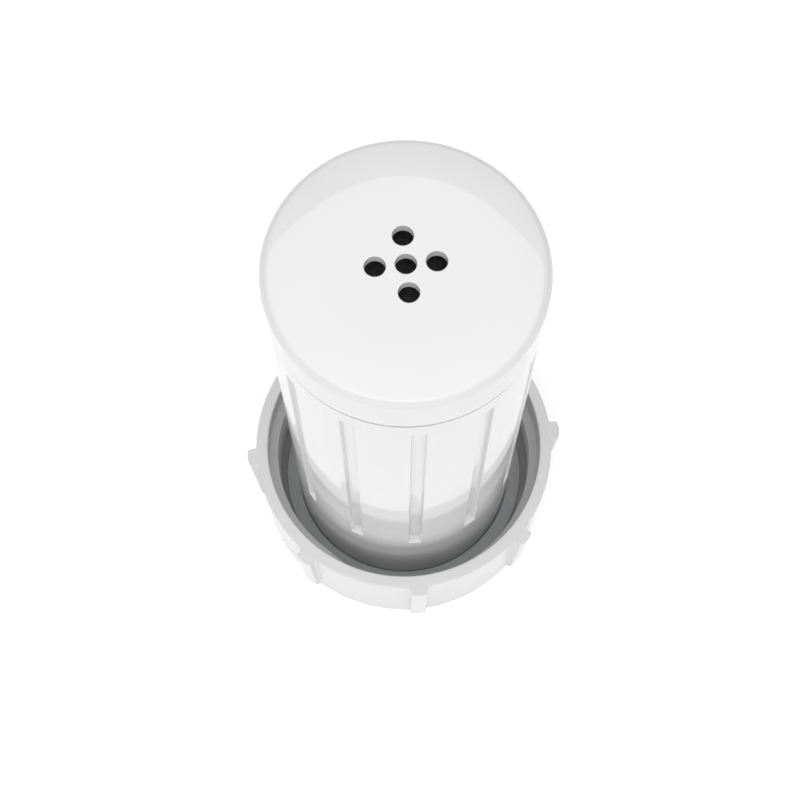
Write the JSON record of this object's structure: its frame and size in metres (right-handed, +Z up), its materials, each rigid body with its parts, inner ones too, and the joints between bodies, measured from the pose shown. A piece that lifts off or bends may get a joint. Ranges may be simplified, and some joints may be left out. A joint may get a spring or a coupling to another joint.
{
  "type": "filter cartridge with lugged screw cap",
  "caption": "Round water filter cartridge with grip grooves and a holed lid, standing in a lugged, internally threaded tank cap with a sprung outlet valve.",
  "frame": {"origin": "centre of the cap's underside, the face it stands on", "axes": "+Z up along the common axis from the cap to the lid; a grip lug, a grip groove and two inlet holes lie on the X axis, and others on the Y axis"},
  "size_m": [0.0716, 0.0716, 0.1217],
  "materials": {
    "cap_plastic": "glossy white moulding",
    "cartridge_plastic": "glossy white moulding",
    "inner_plastic": "satin pale moulding",
    "silicone": "soft matt silicone",
    "black_rubber": "matt rubber",
    "steel": "bright drawn wire",
    "mesh": "fine woven polyester",
    "felt": "needled white felt",
    "foam": "open-cell charcoal foam",
    "resin": "amber resin beads"
  },
  "bodies": {
    "cap": {"tank_cap": "cap_plastic", "neck_gasket": "silicone", "valve_guide": "inner_plastic", "valve_spring": "steel"},
    "seal_ring": {"spigot_o_ring": "black_rubber"},
    "cartridge": {"cartridge_body": "cartridge_plastic", "cartridge_base": "cartridge_plastic", "support_grid": "inner_plastic", "lower_mesh": "mesh", "lower_felt": "felt", "resin_bed": "resin", "upper_felt": "felt", "upper_mesh": "mesh", "spreader_plate": "inner_plastic", "foam_pad": "foam", "cartridge_lid": "cartridge_plastic", "lid_seal": "black_rubber"},
    "valve": {"valve_stem": "inner_plastic", "valve_seal": "black_rubber", "stem_clip": "steel"}
  },
  "joints": [
    {"name": "cartridge_turn", "type": "hinge", "parent": "cap", "child": "seal_ring", "pos_m": [0, 0, 0.01255], "axis": [0, 0, 1], "continuous": true},
    {"name": "cartridge_lift", "type": "slide", "parent": "seal_ring", "child": "cartridge", "axis": [0, 0, 1], "range_m": [0, 0.03]},
    {"name": "valve_press", "type": "slide", "parent": "cap", "child": "valve", "axis": [0, 0, 1], "range_m": [0, 0.003], "stiffness_N_per_m": 180, "springref_m": -0.004, "deforming": ["valve_spring"]}
  ]
}
